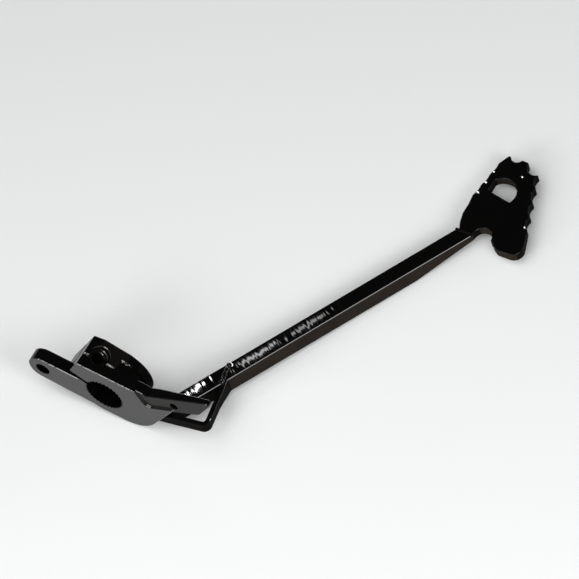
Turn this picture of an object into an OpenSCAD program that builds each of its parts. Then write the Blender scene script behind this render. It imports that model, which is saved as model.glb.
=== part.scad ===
/* [Clamp lever] */
// Bore for the splined pivot shaft, between the grooves that its splines run in
bore_d = 21.2; // [16:0.2:25]
// Length of the barrel along the pivot shaft
barrel_len = 19; // [15:0.5:24]
// Wall of the barrel round the bore
barrel_wall = 5.8; // [4:0.1:7]
// Height of the collar over the barrel
collar_rise = 2.9; // [1:0.1:4]
// Width of the collar, at the barrel's inner end
collar_w = 5.6; // [3:0.1:7]
// Thickness of the lever plate
plate_t = 7.4; // [6:0.1:9]
// Reach of the rod hole behind the bore
rod_reach = 37.4; // [34:0.2:45]
// Height of the rod hole over the bore
rod_rise = 2.8; // [0:0.2:5]
// Hole for the pin of the brake rod
rod_hole_d = 8.2; // [6:0.1:9]
// Width of the rod arm
rod_arm_w = 17.2; // [15:0.2:19]
// Gap between the two clamp ears
slit_w = 2.2; // [1.5:0.1:3]
// Slope of the clamp gap, up and backward from the bore
slit_angle = 149; // [146:1:152]
// Length of the clamp ears from the middle of the bore
ear_reach = 22.4; // [21:0.2:24]
// Depth of the lower ear under the gap
ear_depth = 20; // [17:0.5:21]
// Distance from the middle of the bore to the pinch bolt's axis
bolt_offset = 14; // [13.6:0.1:14.6]
// Clearance hole for the pinch bolt, in the upper ear
bolt_hole_d = 6.6; // [6.2:0.1:7]
// Core hole of the pinch bolt's thread, in the lower ear
bolt_core_d = 5; // [4.6:0.1:5.4]
// Spot face for the head of the pinch bolt
spot_d = 10.6; // [9.6:0.2:12]
// Height of that spot face over the middle of the gap
spot_h = 13; // [11:0.2:13.6]

/* [Tab] */
// Depth of the tab's face behind the lever's face
tab_setback = 1.1; // [0.6:0.1:2]
// Thickness of the tab at its free end
tab_end_t = 2.8; // [2:0.1:4]
// Length of the tab along its upper edge
tab_len = 53.5; // [48:0.5:58]
// Width of the tab
tab_w = 10.8; // [9.5:0.1:12]
// Slope of the tab
tab_angle = 21.6; // [20:0.2:23]
// Hole for the spring of the stop lamp switch
spring_hole_d = 4.8; // [3:0.1:5.4]

/* [Arm] */
// Slope of the arm, outward from the forward direction
arm_angle = 60; // [58:0.5:62]
// Length of the arm from the strap's bend to the toe plate's line
arm_len = 152; // [140:1:165]
// Width of the arm's bar
arm_w = 8.9; // [8:0.1:9.6]
// Height of the arm's bar
arm_h = 10.3; // [8:0.1:12]
// Height of the arm's bar where it meets the toe plate
arm_end_h = 4.6; // [4:0.1:5.4]
// Length of the taper to that end
arm_taper_len = 37; // [25:1:50]
// Top of the arm below the middle of the bore
arm_drop = 5; // [4:0.1:6]
// Thickness of the bent strap
strap_t = 2.6; // [2.2:0.1:3.2]
// Height of the strap where it meets the lever
strap_h = 6.4; // [5.4:0.1:7.4]
// Radius inside the strap's bend
strap_r = 1.4; // [1:0.1:5]

/* [Toe plate] */
// Thickness of the toe plate
toe_t = 5.6; // [5:0.1:7]
// Height of the toe plate's top over the arm's top
toe_rise = 0.6; // [0:0.1:1]
// Length of the toe plate, across the bike
toe_len = 51; // [49:0.5:54]
// Depth of the scallops between its teeth
scallop_depth = 1.5; // [0.8:0.1:1.8]
// Radius of the rounded side of its D-shaped hole
d_hole_r = 8.6; // [6:0.1:8.8]

/* [Hidden] */
$fn = 64;
black = [0.07, 0.07, 0.07];
over = 1;
far = 60;
graze = 0.03;

// The lever's outline lies in the XZ plane: X forward, Z up, and the shaft along Y
bore_r = bore_d / 2;
barrel_r = bore_r + barrel_wall;
collar_r = barrel_r + collar_rise;
waist_r = barrel_r + collar_rise / 2;
rod_arm_r = rod_arm_w / 2;
rod_at = [-rod_reach, rod_rise];
elbow_at = [0.6, -6.8];
elbow_r = 9.2;
crown_angle = 78;
crown_top = 23.1;
collar_angle = 67;
end_lean = 1.7;
ear_start = 3;
spline_count = 30;
spline_w = 1.1;
spline_depth = 0.7;
heel_at = [13, 0];
heel_r = 19.2;
heel_tip = [44, 9.3];
tab_at = [22.5, 10.7];
tab_bevel = 16.5;
tab_root = 10;
tab_tip_r = 1.6;
tab_corner_r = 6;
ledge_in = 1;
ledge_drop = 8.4;
step_r = 4.6;
spring_at = [22.2, -5.7];

// The arm's plan lies in the XY plane
bend_at = [54, 36.5];
knee_at = [58.8, 6.3];
strap_end = [20, 1.6];
arm_dir = [cos(arm_angle), sin(arm_angle)];
arm_side = [-sin(arm_angle), cos(arm_angle)];
arm_top = -arm_drop;
arm_bottom = arm_top - arm_h;
strap_bottom = arm_top - strap_h;
strap_level = 22;
bead_r = 1.5;

// The toe plate's own plan has its origin at its inner corner, beside the arm's end
toe_at = bend_at + arm_len * arm_dir + [-12, 0];
toe_top = arm_top + toe_rise;
tooth_flat = 1.6;
inner_foot = [[3.3, 0], [1.4, 4.4], [0, 10], [0, 16.2]];
inner_1 = [-0.7, 22];
inner_4 = [2.4, toe_len - 5.3];
inner_count = 3;
tooth_1 = [5.2, toe_len + 0.7];
tooth_2 = [16.4, toe_len + 0.9];
tooth_3 = [25.6, toe_len - 4];
tooth_7 = [37.6, 13.2];
tooth_count = 4;
gullet_1_at = [9.7, toe_len + 2];
gullet_1_r = 3.6;
gullet_2_at = [22.6, toe_len - 0.2];
gullet_2_r = 5;
notch_at = [17.2, 0.6];
notch_r = 5.3;
tongue_r = 5.5;
tongue_low = -4;
inner_low = [28.6, tongue_low];
tongue_foot = [[25.4, -2], [23.4, 0]];
hole_at = [12.4, toe_len - 21.4];
hole_left = 5.8;
hole_flat = [7.1, toe_len - 23.3];
hole_slope = -10.2;

function unit(v) = v / norm(v);
function left_of(v) = [-v[1], v[0]];
function meet(p, u, q, v) = p + u * (((q - p) * left_of(v)) / (u * left_of(v)));
// Points of an arc that rounds the corner b of the path a, b, c
function round_corner(a, b, c, r, steps = 12) =
    let (u = unit(a - b), v = unit(c - b))
    let (half = acos(u * v) / 2)
    let (mid = b + unit(u + v) * r / sin(half))
    let (p = b + u * r / tan(half), q = b + v * r / tan(half))
    let (from = atan2(p[1] - mid[1], p[0] - mid[0]))
    let (turn = atan2(q[1] - mid[1], q[0] - mid[0]) - from)
    let (sweep = turn > 180 ? turn - 360 : turn < -180 ? turn + 360 : turn)
    [for (i = [0:steps]) mid + r * [cos(from + sweep * i / steps), sin(from + sweep * i / steps)]];

// The strap's lines: outer ones through its bend, knee and end, inner ones a thickness away
down_dir = unit(knee_at - bend_at);
back_dir = unit(strap_end - knee_at);
bend_in = bend_at - left_of(down_dir) * strap_t;
end_in = strap_end - left_of(back_dir) * strap_t;
knee_in = meet(bend_in, down_dir, end_in, back_dir);
arm_back = bend_at + arm_side * arm_w;
apex = meet(arm_back, arm_dir, bend_in, down_dir);
crotch = meet(bend_at, arm_dir, bend_in, down_dir);
brace_front = meet([0, plate_t], [1, 0], bend_at, arm_dir);
brace_back = meet([0, plate_t], [1, 0], arm_back, arm_dir);
toe_front = meet(bend_at, arm_dir, toe_at, [1, 0]);
toe_back = meet(arm_back, arm_dir, toe_at, [1, 0]);

// A flat shape of the XZ plane, made solid between two places along the shaft
module slab(y0, y1) {
    translate([0, y1, 0])
        rotate([90, 0, 0])
            linear_extrude(y1 - y0)
                children();
}

// Two circles and the straight sides that join them, which start a hair inside each circle
module link(a, b, ra, rb) {
    d = b - a;
    base = atan2(d[1], d[0]);
    open = acos((ra - rb) / norm(d));
    up = [cos(base + open), sin(base + open)];
    down = [cos(base - open), sin(base - open)];
    translate(a) circle(r = ra);
    translate(b) circle(r = rb);
    polygon([
        a + (ra - graze) * up, b + (rb - graze) * up, b + (rb - graze) * down, a + (ra - graze) * down
    ]);
}

// All that lies under the sloping flat on top of the ears and the boss
module under_crown() {
    rotate(crown_angle)
        translate([-2 * far, -2 * far])
            square([2 * far + heel_r, 4 * far]);
}

// The ears end in one plane, which leans a little from square to the gap
module before_end() {
    rotate(slit_angle - end_lean)
        translate([-2 * far, -2 * far])
            square([2 * far + ear_reach, 4 * far]);
}

module upper_ear(start) {
    intersection() {
        rotate(slit_angle)
            translate([start, -far])
                square([far, far]);
        under_crown();
        before_end();
    }
}

module lower_ear(depth) {
    intersection() {
        rotate(slit_angle)
            square([far, depth]);
        before_end();
    }
}

module heel() {
    reach = heel_tip - heel_at;
    edge = atan2(reach[1], reach[0]) - acos(heel_r / norm(reach));
    translate(heel_at) circle(r = heel_r);
    polygon([heel_at, heel_at + (heel_r - graze) * [cos(edge), sin(edge)], heel_tip, tab_at]);
}

module lever_outline() {
    intersection() {
        union() {
            link(rod_at, elbow_at, rod_arm_r, elbow_r);
            link([0, 0], heel_at, barrel_r, heel_r);
            heel();
            upper_ear(0);
        }
        under_crown();
    }
}

module on_tab() {
    translate(tab_at)
        rotate(tab_angle)
            children();
}

module tab_outline() {
    tip = [tab_len, 0];
    corner = [tab_len - tab_bevel, -tab_w];
    root = [tab_root, -tab_w];
    on_tab()
        polygon(concat(
            [root, [-tab_root / 2, -tab_w / 2], [-tab_root / 2, 0]],
            round_corner([0, 0], tip, corner, tab_tip_r),
            round_corner(tip, corner, root, tab_corner_r)
        ));
}

// Where the lever's face is cut back to the tab's face
module tab_face() {
    on_tab()
        translate([ledge_in, -ledge_drop]) {
            translate([step_r, 0])
                square([tab_len, far]);
            translate([0, step_r])
                square([tab_len, far]);
            translate([step_r, step_r])
                circle(r = step_r);
        }
}

module lever_body() {
    slab(0, tab_setback)
        difference() {
            lever_outline();
            tab_face();
        }
    slab(tab_setback, plate_t)
        lever_outline();
    difference() {
        slab(tab_setback, plate_t)
            tab_outline();
        tab_taper();
    }
}

// The tab's back slopes, so that the tab thins towards its free end
module tab_taper() {
    start = heel_tip[0] - tab_root;
    end = tab_at[0] + tab_len;
    linear_extrude(far)
        polygon([
            [start, plate_t], [end, tab_setback + tab_end_t], [end, plate_t + over], [start, plate_t + over]
        ]);
}

module at_bolt() {
    translate([bolt_offset * cos(slit_angle), barrel_len / 2, bolt_offset * sin(slit_angle)])
        rotate([0, 180 - slit_angle, 0])
            children();
}

// The barrel's collar and the ears behind the plate have a steeper crown than the plate
module under_collar() {
    intersection() {
        rotate(collar_angle)
            translate([-2 * far, -2 * far])
                square([2 * far + collar_r, 4 * far]);
        translate([-far, -far])
            square([2 * far, far + crown_top]);
    }
}

module barrel_ears(start) {
    intersection() {
        union() {
            rotate(slit_angle)
                translate([start, -far])
                    square([far, far]);
            lower_ear(ear_depth);
        }
        under_collar();
        before_end();
    }
}

module barrel_body() {
    slab(0, barrel_len)
        circle(r = barrel_r);
    slab(plate_t, barrel_len) {
        circle(r = waist_r);
        barrel_ears(ear_start);
    }
    slab(barrel_len - collar_w, barrel_len) {
        circle(r = collar_r);
        barrel_ears(0);
    }
}

// The bore and the grooves that the shaft's splines run in
module splined_bore() {
    circle(r = bore_r);
    for (i = [0:spline_count - 1])
        rotate((i + 0.5) * 360 / spline_count)
            translate([bore_r - over, -spline_w / 2])
                square([over + spline_depth, spline_w]);
}

module clamp_lever() {
    color(black)
        difference() {
            union() {
                lever_body();
                barrel_body();
            }
            slab(-over, barrel_len + over)
                splined_bore();
            slab(-over, barrel_len + over)
                rotate(slit_angle)
                    translate([0, -slit_w / 2])
                        square([far, slit_w]);
            slab(-over, plate_t + over) {
                translate(rod_at)
                    circle(d = rod_hole_d);
                on_tab()
                    translate(spring_at)
                        circle(d = spring_hole_d);
            }
            at_bolt() {
                cylinder(d = bolt_hole_d, h = far);
                translate([0, 0, spot_h])
                    cylinder(d = spot_d, h = far);
                translate([0, 0, -ear_depth - over])
                    cylinder(d = bolt_core_d, h = ear_depth + over);
            }
        }
}

module arm_plan() {
    polygon(concat(
        [bend_at],
        round_corner(bend_at, knee_at, strap_end, strap_r + strap_t),
        [strap_end, end_in],
        round_corner(end_in, knee_in, bend_in, strap_r),
        [apex, toe_back, toe_front]
    ));
}

// What is cut from under the arm, where it thins towards the toe plate
module arm_taper() {
    rise = arm_h - arm_end_h;
    start = arm_len - arm_taper_len;
    lead = arm_taper_len * over / rise;
    translate([bend_at[0], bend_at[1], 0])
        rotate([0, 0, arm_angle])
            translate([0, 2 * arm_w, 0])
                rotate([90, 0, 0])
                    linear_extrude(4 * arm_w)
                        polygon([
                            [start - lead, arm_bottom - over],
                            [arm_len, arm_bottom + rise],
                            [arm_len + far, arm_bottom + rise],
                            [arm_len + far, arm_bottom - over]
                        ]);
}

// What is cut from under the strap, which is lower than the bar that it is bent from
module strap_relief() {
    translate([-far, 0, 0])
        rotate([90, 0, 90])
            linear_extrude(3 * far)
                polygon([
                    [-far, strap_bottom],
                    [strap_level, strap_bottom],
                    [bend_at[1], arm_bottom],
                    [bend_at[1] + over, arm_bottom - over],
                    [-far, arm_bottom - over]
                ]);
}

module pedal_arm() {
    color(black)
        difference() {
            translate([0, 0, arm_bottom])
                linear_extrude(arm_h)
                    arm_plan();
            arm_taper();
            strap_relief();
            slab(-over, plate_t)
                lever_outline();
        }
}

module arm_brace() {
    color(black)
        translate([0, 0, arm_bottom])
            linear_extrude(arm_h)
                brace_plan();
}

// A row of scallops of the same pitch, cut along one edge from one corner to the next
module scallops(a, b, count, depth) {
    pitch = norm(b - a) / count;
    chord = pitch - tooth_flat;
    r = (chord * chord / 4 + depth * depth) / (2 * depth);
    out = -left_of(unit(b - a));
    for (i = [0:count - 1])
        translate(a + (b - a) * (i + 0.5) / count + out * (r - depth))
            circle(r = r);
}

module d_hole() {
    intersection() {
        translate(hole_at)
            circle(r = d_hole_r);
        translate([hole_left, 0])
            square([far, far]);
        translate(hole_flat)
            rotate(hole_slope)
                translate([-far / 2, 0])
                    square([far, far]);
    }
}

module toe_outline() {
    side = unit(tooth_7 - tooth_3);
    outer_low = meet(tooth_3, side, [0, tongue_low], [1, 0]);
    difference() {
        polygon(concat(
            inner_foot,
            [inner_1, inner_4, tooth_1, tooth_2, tooth_3],
            round_corner(tooth_3, outer_low, inner_low, tongue_r),
            [inner_low],
            tongue_foot
        ));
        translate(notch_at) circle(r = notch_r);
        scallops(tooth_7, tooth_3, tooth_count, scallop_depth);
        translate(gullet_1_at) circle(r = gullet_1_r);
        translate(gullet_2_at) circle(r = gullet_2_r);
        scallops(inner_4, inner_1, inner_count, scallop_depth / 3);
        d_hole();
    }
}

module toe_plate() {
    color(black)
        translate([toe_at[0], toe_at[1], toe_top - toe_t])
            linear_extrude(toe_t)
                toe_outline();
}

module brace_plan() {
    polygon([apex, crotch, brace_front, brace_back]);
}

// A bead that stands in a corner of the plan
module corner_bead(at, low, high) {
    translate([0, 0, low])
        linear_extrude(high - low)
            difference() {
                translate(at) circle(r = bead_r);
                arm_plan();
                brace_plan();
                translate([-far, plate_t - far])
                    square([2 * far, far]);
            }
}

// A half-round bead that lies on the arm's top from one point of the plan to another
module top_bead(a, b) {
    d = b - a;
    translate([a[0], a[1], arm_top])
        rotate([0, 0, atan2(d[1], d[0])])
            rotate([90, 0, 90])
                linear_extrude(norm(d))
                    intersection() {
                        circle(r = bead_r);
                        translate([-far, 0])
                            square([2 * far, far]);
                        children();
                    }
}

// One run lies on top along the strap, and one stands in the corner below it
module fork_weld() {
    color(black) {
        top_bead(apex + over * unit(crotch - apex), crotch)
            square(far, center = true);
        corner_bead(crotch, arm_bottom + over, arm_top - over);
    }
}

module root_weld() {
    color(black)
        corner_bead(brace_back, arm_bottom + arm_h / 4, arm_top);
}

module toe_weld() {
    color(black)
        top_bead(toe_back, toe_front)
            translate([-far, 0])
                square([far, far]);
}

clamp_lever();
pedal_arm();
arm_brace();
toe_plate();
fork_weld();
root_weld();
toe_weld();
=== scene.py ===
import bmesh
import bpy
import math
from mathutils import Matrix, Vector


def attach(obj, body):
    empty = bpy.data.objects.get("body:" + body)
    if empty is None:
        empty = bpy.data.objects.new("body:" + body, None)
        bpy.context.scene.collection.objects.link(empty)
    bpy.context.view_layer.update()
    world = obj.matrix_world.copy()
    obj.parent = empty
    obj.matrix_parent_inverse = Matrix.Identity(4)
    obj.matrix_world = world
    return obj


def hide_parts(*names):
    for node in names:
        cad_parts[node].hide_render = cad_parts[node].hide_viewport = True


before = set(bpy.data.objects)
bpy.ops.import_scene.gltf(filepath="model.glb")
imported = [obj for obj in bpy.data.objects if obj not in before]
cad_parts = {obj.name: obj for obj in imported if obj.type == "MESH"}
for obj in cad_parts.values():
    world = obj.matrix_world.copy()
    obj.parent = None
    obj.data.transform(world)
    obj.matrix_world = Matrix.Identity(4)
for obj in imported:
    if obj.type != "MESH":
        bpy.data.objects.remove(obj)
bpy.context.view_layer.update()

# Camera: a long lens that looks down at the pedal from its outer side.
# Its three axes are those that the photographed bore, arm and toe plate give.
RIGHT = Vector((0.854, 0.4877, -0.178)).normalized()
BACK = RIGHT.cross(Vector((-0.318, 0.7639, 0.562))).normalized()
UP = BACK.cross(RIGHT)
VIEW_WIDTH = 0.304
VIEW_DISTANCE = 7.0
AIM = RIGHT * 0.0973 + UP * 0.0553
lens = bpy.data.cameras.new("camera")
lens.sensor_width = 36
lens.lens = lens.sensor_width * VIEW_DISTANCE / VIEW_WIDTH
lens.clip_end = 30
camera = bpy.data.objects.new("camera", lens)
turn = Matrix((RIGHT, UP, BACK)).transposed().to_4x4()
camera.matrix_world = Matrix.Translation(AIM + BACK * VIEW_DISTANCE) @ turn
bpy.context.scene.collection.objects.link(camera)
bpy.context.scene.camera = camera
bpy.context.scene.view_settings.view_transform = "Standard"


def linear(text):
    """An sRGB hex colour as linear red, green, blue and alpha."""
    parts = [int(text[i:i + 2], 16) / 255 for i in (1, 3, 5)]
    return [p / 12.92 if p <= 0.04045 else ((p + 0.055) / 1.055) ** 2.4 for p in parts] + [1.0]


def add(tree, kind, inputs=None, **settings):
    """A node of that kind, with its settings, and its inputs as values or as other nodes' outputs."""
    made = tree.nodes.new(kind)
    for name, value in settings.items():
        setattr(made, name, value)
    for name, value in (inputs or {}).items():
        if isinstance(value, bpy.types.NodeSocket):
            tree.links.new(value, made.inputs[name])
        else:
            made.inputs[name].default_value = value
    return made


# Table: a plain pale laminate top, less than 0.6 mm below the boss and the far end of the arm.
# It leans by nearly a degree and a half along the arm, because the pedal keeps its own frame.
TABLE_SIZE = 30
TABLE_HEX = "#e8e9e9"
ARM_ANGLE = math.radians(60)
ARM_ALONG = Vector((math.cos(ARM_ANGLE), math.sin(ARM_ANGLE), 0))
TABLE_LOW = Vector((0.009, 0.009, -0.0197))
TABLE_LEAN = 0.0239
TABLE_ROUGHNESS = 0.7
TABLE_SHINE = 0.2
table_up = (Vector((0, 0, 1)) - ARM_ALONG * TABLE_LEAN).normalized()
bpy.ops.mesh.primitive_plane_add(size=TABLE_SIZE)
table = bpy.context.object
table.name = "table_top"
table.matrix_world = Matrix.Translation(TABLE_LOW) @ table_up.to_track_quat("Z", "Y").to_matrix().to_4x4()
laminate = bpy.data.materials.new("pale laminate")
laminate.use_nodes = True
tree = laminate.node_tree
shader = tree.nodes["Principled BSDF"]
shader.inputs["Base Color"].default_value = linear(TABLE_HEX)
shader.inputs["Roughness"].default_value = TABLE_ROUGHNESS
shader.inputs["Specular IOR Level"].default_value = TABLE_SHINE
table.data.materials.append(laminate)

# Room: a pale wall on the side that the camera stands on, and a dark one behind the pedal.
# The flat tops and the crown mirror the dark wall, and the upright faces mirror the table.
WALL_LEVEL = 0.5
DARK_LEVEL = 0.025
PALE_TO = -0.1
DARK_FROM = 0.4
TOPS_MIRROR = Vector((0, 0, 1)) * 2 * BACK.z - BACK
room = bpy.data.worlds.new("room")
room.use_nodes = True
tree = room.node_tree
ray = add(tree, "ShaderNodeTexCoord").outputs["Generated"]
toward = add(tree, "ShaderNodeSeparateXYZ", {0: ray})
level = add(tree, "ShaderNodeMapRange", {
    "Value": toward.outputs["Y"], "From Min": PALE_TO, "From Max": DARK_FROM,
    "To Min": WALL_LEVEL, "To Max": DARK_LEVEL})
background = tree.nodes["Background"]
background.inputs["Color"].default_value = (1, 1, 1, 1)
tree.links.new(level.outputs["Result"], background.inputs["Strength"])
bpy.context.scene.world = room


# Lamps: a broad soft one overhead, two on the camera's side, and a small one behind.
# The last three are aimed so that broken edges of the bar, lever and strap show as light lines.
# Each line gives a lamp's name, aim, direction, distance, width, depth and brightness.
MIDDLE = (0.06, 0.09, 0.0)
STRAP_AT = (0.0565, 0.0210, -0.005)
LEVEL_SIDE = (1, 0, 0.3)


def softbox(name, aim, direction, distance, width, height, radiance, along=LEVEL_SIDE):
    """A rectangular lamp that faces aim from that direction, its width along that line."""
    lamp = bpy.data.lights.new(name, "AREA")
    lamp.shape = "RECTANGLE"
    lamp.size = width
    lamp.size_y = height
    lamp.energy = radiance * math.pi * width * height
    holder = bpy.data.objects.new(name, lamp)
    away = Vector(direction).normalized()
    side = (Vector(along) - away * away.dot(Vector(along))).normalized()
    turn = Matrix((side, away.cross(side), away)).transposed().to_4x4()
    holder.matrix_world = Matrix.Translation(Vector(aim) + away * distance) @ turn
    holder.visible_camera = False
    bpy.context.scene.collection.objects.link(holder)


softbox("key", MIDDLE, (-0.1, -0.35, 1.0), 1.1, 1.0, 0.9, 1.9)
softbox("right_window", MIDDLE, (0.776, -0.265, 0.565), 1.2, 0.5, 0.4, 9)
softbox("front_window", MIDDLE, (-0.1, -0.88, 0.42), 1.2, 1.0, 0.35, 6)
softbox("strap_window", STRAP_AT, (0.722, 0.603, 0.338), 1.2, 0.12, 0.12, 14)

# Light marks: nine small lamps close above the tops, placed one by one where the photograph has light marks.
# They suit the camera's view only and are no part of the pedal.
# What the photographed marks are isn't known.
TOE_TOP = -0.0044
TICK_LINE = (0.985, -0.175, 0)
MARKS = [
    # name, place that mirrors it, distance from there, width, depth, radiance, line of its width
    ("bead_mark", (0.0497, 0.0462, -0.0036), 0.010, 0.0022, 0.0014, 60, LEVEL_SIDE),
    ("brace_strokes", (0.0407, 0.0240, -0.005), 0.07, 0.011, 0.0018, 44, ARM_ALONG),
    ("bar_strokes", (0.0600, 0.0552, -0.005), 0.08, 0.022, 0.0016, 10, ARM_ALONG),
    ("far_bar_strokes", (0.0765, 0.0842, -0.005), 0.08, 0.022, 0.0016, 6, ARM_ALONG),
    ("toe_tick", (0.1196, 0.2080, TOE_TOP), 0.012, 0.0030, 0.0006, 40, TICK_LINE),
    ("toe_tick", (0.1190, 0.2004, TOE_TOP), 0.012, 0.0030, 0.0006, 40, TICK_LINE),
    ("toe_tick", (0.1184, 0.1931, TOE_TOP), 0.012, 0.0030, 0.0006, 40, TICK_LINE),
    ("toe_point", (0.1367, 0.2106, TOE_TOP), 0.012, 0.0007, 0.0007, 40, TICK_LINE),
    ("toe_point", (0.1537, 0.1827, TOE_TOP), 0.012, 0.0007, 0.0007, 40, TICK_LINE),
]
for name, place, distance, width, depth, radiance, along in MARKS:
    softbox(name, place, TOPS_MIRROR, distance, width, depth, radiance, along)

# Clamp lever: a steel forging with a split boss for the shaft, a rod arm and a drilled tab.
# It is sprayed with black gloss enamel, whose fine orange peel and dust patches break up what it mirrors.
# Its tab and the end of its ear are satin, and its edges are rough enough to sparkle.
PAINT_HEX = "#030303"
# Dust colour. Laid on thick on the sides of the bar and toe plate, it is also painted shade.
DUST_AND_SHADE_HEX = "#38312a"
PAINT_IOR = 1.5
PEEL_PER_M = 1 / 0.0016
PATCH_PER_M = 1 / 0.018
PATCH_FROM = 0.35
PATCH_FULL = 0.75
PIT_PER_M = 1 / 0.0008
PIT_FROM = 0.70
PIT_FULL = 0.78
PIT_DUST = 0.2
HAZE_OF_FILM = 0.5
RIPPLE_ALONG = 0.0022
RIPPLE_ACROSS = 0.03
RIPPLED_TO_Y = 0.085
CALM_FROM_Y = 0.125
CALM_SHARE = 0.05


def enamel(name, gloss, film, shine, ripple, peel_depth):
    """Black enamel: its roughness, dust film (laid thick, partly painted shade), specular level, and depths
    of ripple and peel in metres.
    """
    paint = bpy.data.materials.new(name)
    paint.use_nodes = True
    tree = paint.node_tree
    shader = tree.nodes["Principled BSDF"]
    place = add(tree, "ShaderNodeTexCoord").outputs["Object"]
    patches = add(tree, "ShaderNodeTexNoise", {
        "Vector": place, "Scale": PATCH_PER_M, "Detail": 4.0, "Roughness": 0.6})
    pits = add(tree, "ShaderNodeTexNoise", {
        "Vector": place, "Scale": PIT_PER_M, "Detail": 3.0, "Roughness": 0.7})
    specks = add(tree, "ShaderNodeMapRange", {
        "Value": pits.outputs["Fac"], "From Min": PIT_FROM, "From Max": PIT_FULL, "To Max": PIT_DUST})
    patch = add(tree, "ShaderNodeMapRange", {
        "Value": patches.outputs["Fac"], "From Min": PATCH_FROM, "From Max": PATCH_FULL,
        "To Min": film / 2, "To Max": film})
    dust_and_shade_mix = add(tree, "ShaderNodeMath", {
        0: patch.outputs["Result"], 1: specks.outputs["Result"]}, operation="MAXIMUM")
    tint = add(tree, "ShaderNodeMix", data_type="RGBA")
    tree.links.new(dust_and_shade_mix.outputs[0], tint.inputs[0])
    tint.inputs[6].default_value = linear(PAINT_HEX)
    tint.inputs[7].default_value = linear(DUST_AND_SHADE_HEX)
    tree.links.new(tint.outputs[2], shader.inputs["Base Color"])
    haze = add(tree, "ShaderNodeMath", {
        0: patch.outputs["Result"], 1: HAZE_OF_FILM, 2: gloss}, operation="MULTIPLY_ADD")
    tree.links.new(haze.outputs[0], shader.inputs["Roughness"])
    turned = add(tree, "ShaderNodeMapping", {
        "Vector": place, "Rotation": (0, 0, ARM_ANGLE),
        "Scale": (RIPPLE_ALONG, RIPPLE_ACROSS, RIPPLE_ACROSS)}, vector_type="TEXTURE")
    waves = add(tree, "ShaderNodeTexNoise", {
        "Vector": turned.outputs["Vector"], "Scale": 1.0, "Detail": 1.0})
    along_y = add(tree, "ShaderNodeSeparateXYZ", {0: place})
    fade = add(tree, "ShaderNodeMapRange", {
        "Value": along_y.outputs["Y"], "From Min": RIPPLED_TO_Y, "From Max": CALM_FROM_Y,
        "To Min": 1.0, "To Max": CALM_SHARE})
    swell = add(tree, "ShaderNodeMath", {
        0: waves.outputs["Fac"], 1: fade.outputs["Result"]}, operation="MULTIPLY")
    peel = add(tree, "ShaderNodeTexNoise", {"Vector": place, "Scale": PEEL_PER_M, "Detail": 1.0})
    wavy = add(tree, "ShaderNodeBump", {"Height": swell.outputs[0], "Strength": 1.0, "Distance": ripple})
    fine = add(tree, "ShaderNodeBump", {
        "Height": peel.outputs["Fac"], "Strength": 1.0, "Distance": peel_depth,
        "Normal": wavy.outputs["Normal"]})
    tree.links.new(fine.outputs["Normal"], shader.inputs["Normal"])
    shader.inputs["IOR"].default_value = PAINT_IOR
    shader.inputs["Specular IOR Level"].default_value = shine
    return paint


# Black gloss enamel, sprayed: near black, with a clear mirror of what is round it
gloss_enamel = enamel("gloss black enamel", 0.06, 0.02, 0.45, 0.000004, 0.000003)
# The same over rough edges: short broken glints
sparkling_enamel = enamel("gloss black enamel on rough edges", 0.06, 0.02, 0.8, 0.0001, 0.0003)
# The same with a soft sheen, as over forged scale
satin_enamel = enamel("black enamel on as-forged steel", 0.25, 0.10, 0.1, 0.00003, 0.00001)
# The same under a thin film of dirt: dull and nearly black
grimy_enamel = enamel("black enamel with thin grime", 0.5, 0.07, 0.02, 0.00003, 0.00001)
SAME_POINT = 0.000004
FLAT_ANGLE = math.radians(0.6)
SMOOTH_ANGLE = math.radians(20)
ARRIS_ANGLE = math.radians(28)


def painted(name, width, finish, crisp=()):
    """The CAD node of that name, its arrises broken by that width and painted by finish(centre, normal).

    Edges inside the circles crisp, each an x, a z and a radius, stay sharp.
    """
    shape = bmesh.new()
    shape.from_mesh(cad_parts[name].data)
    bmesh.ops.remove_doubles(shape, verts=shape.verts, dist=SAME_POINT)
    bmesh.ops.dissolve_limit(
        shape, angle_limit=FLAT_ANGLE, verts=shape.verts, edges=shape.edges, use_dissolve_boundaries=False)
    hard = [
        e for e in shape.edges if len(e.link_faces) == 2 and e.calc_face_angle() > ARRIS_ANGLE
        and all(math.hypot(v.co.x - x, v.co.z - z) > r for v in e.verts for x, z, r in crisp)]
    bmesh.ops.bevel(
        shape, geom=hard, offset=width, segments=1, affect="EDGES", clamp_overlap=False, offset_type="OFFSET")
    for edge in shape.edges:
        edge.smooth = len(edge.link_faces) != 2 or edge.calc_face_angle() < SMOOTH_ANGLE
    paints = []
    for face in shape.faces:
        face.smooth = True
        paint = finish(face.calc_center_median(), face.normal)
        if paint not in paints:
            paints.append(paint)
        face.material_index = paints.index(paint)
    mesh = bpy.data.meshes.new(name + "_painted")
    shape.to_mesh(mesh)
    shape.free()
    for paint in paints:
        mesh.materials.append(paint)
    piece = bpy.data.objects.new(name + "_painted", mesh)
    bpy.context.scene.collection.objects.link(piece)
    even = piece.modifiers.new("even", "WEIGHTED_NORMAL")
    even.mode = "FACE_AREA"
    even.weight = 100
    even.keep_sharp = True
    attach(piece, "root")
    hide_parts(name)
    return piece


LEVER_ARRIS = 0.00035
TAB_START = 0.0245
TAB_FACE = 0.0009
STEP_START = 0.012
STEP_FROM_Y = 0.0001
STEP_TO_Y = 0.0013
BARREL_START = 0.008
BOLT_AT = Vector((-0.0084, 0.0095, 0.0132))
BOLT_ALONG = Vector((0.515, 0, 0.857))
SPOT_FACE_R = 0.0064


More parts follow.
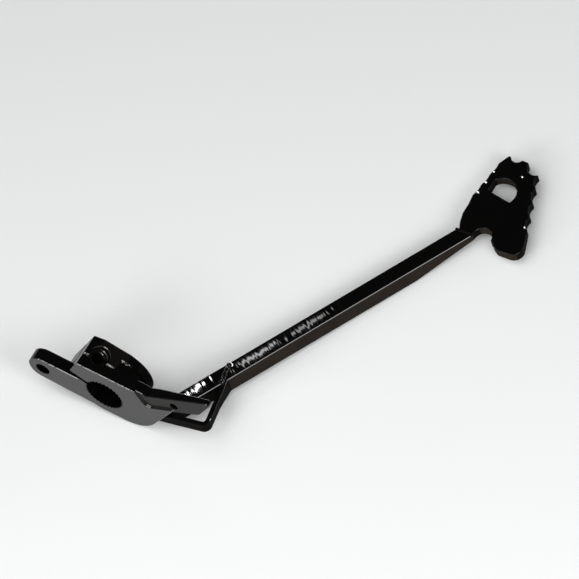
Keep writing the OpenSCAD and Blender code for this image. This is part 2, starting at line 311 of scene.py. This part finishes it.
# Here and below, a number beside normal is a cosine: 0.9 is nearly square on, and 0.5 leans by 60 degrees
def lever_finish(centre, normal):
    on_step = centre.x > STEP_START and STEP_FROM_Y < centre.y < STEP_TO_Y and normal.y > -0.9
    on_tab = centre.x > TAB_START and centre.z > 0.0 and normal.y < -0.5 and centre.y > TAB_FACE
    on_ear_end = normal.x < -0.6 and centre.z > 0.0
    if on_step:
        return gloss_enamel
    if on_tab or on_ear_end:
        return satin_enamel
    if centre.y > BARREL_START and (normal.y < -0.9 or normal.x > 0.8):
        return grimy_enamel
    from_bolt = (centre - BOLT_AT).cross(BOLT_ALONG).length
    along_bolt = abs(normal.dot(BOLT_ALONG))
    on_seat = along_bolt > 0.98 or along_bolt < 0.2
    if on_seat and from_bolt < SPOT_FACE_R and centre.z > BOLT_AT.z - SPOT_FACE_R:
        return satin_enamel
    on_arris = 0.4 < -normal.y < 0.9 and normal.z > 0.3
    return sparkling_enamel if on_arris else gloss_enamel


# The rims of the bore, the rod hole and the small hole in the tab are left sharp: an x, a z and a radius each
HOLES = ((0, 0, 0.0122), (-0.0374, 0.0028, 0.0045), (0.0452, 0.0136, 0.003))
painted("clamp_lever", LEVER_ARRIS, lever_finish, HOLES)


# Pedal arm and brace: lengths of steel bar, the arm bent and thinned at one end, welded to the lever.
# Their tops are gloss, and rippled near the fork. Their sides are dull, and past the bend brownish: a dust
# film whose colour is also painted shade.
# The end of the arm by the lever's heel is dull all round.
BAR_ARRIS = 0.00025
BEND_Y = 0.0365
LOW_RUN_Y = 0.009
RIPPLED_TOP_Y = 0.1
# Gloss enamel with ripples across the bar: the light on it breaks into short strokes
wavy_enamel = enamel("gloss black enamel with ripples", 0.04, 0.02, 0.5, 0.0002, 0.000003)
# Enamel with a thick dust film: flat and brownish, its brown partly painted shade
dust_and_shade_enamel = enamel("black enamel with dust and painted shade", 0.5, 0.6, 0.05, 0.00003, 0.00001)


def bar_finish(centre, normal):
    # Sides and the low run are dull; past the bend their brownish base colour is dust with painted shade.
    if abs(normal.z) < 0.5 or centre.y < LOW_RUN_Y:
        return dust_and_shade_enamel if centre.y > BEND_Y else grimy_enamel
    return wavy_enamel if normal.z > 0.9 and centre.y < RIPPLED_TOP_Y else gloss_enamel


painted("pedal_arm", BAR_ARRIS, bar_finish)
painted("arm_brace", BAR_ARRIS, bar_finish)

# Toe plate: a flat steel plate with scalloped teeth and a D-shaped hole, welded to the arm's end.
# Its flats are gloss, its broken edges satin and its sides dull; those in front are brownish with dust and
# painted shade.
# By the arm one broken edge is gloss too, and mirrors the table.
PLATE_ARRIS = 0.0004
GLOSS_CORNER_Y = 0.191


def plate_finish(centre, normal):
    on_gloss_corner = normal.x < -0.4 and normal.z > 0.5 and centre.y < GLOSS_CORNER_Y
    if abs(normal.z) > 0.9 or on_gloss_corner:
        return gloss_enamel
    if abs(normal.z) > 0.5:
        return satin_enamel
    # Faces towards the camera's side get the brownish finish, whose colour is partly painted shade over dust.
    return dust_and_shade_enamel if normal.y < -0.7 else grimy_enamel


painted("toe_plate", PLATE_ARRIS, plate_finish)

# Welds: thin steel beads that join the arm, brace, lever and toe plate, painted over with the rest.
# Those at the fork and the brace's foot sparkle, and the one at the toe plate is dull.
BEAD_ARRIS = 0.0002
for bead in ("fork_weld", "root_weld"):
    painted(bead, BEAD_ARRIS, lambda centre, normal: sparkling_enamel)
painted("toe_weld", BEAD_ARRIS, lambda centre, normal: grimy_enamel)
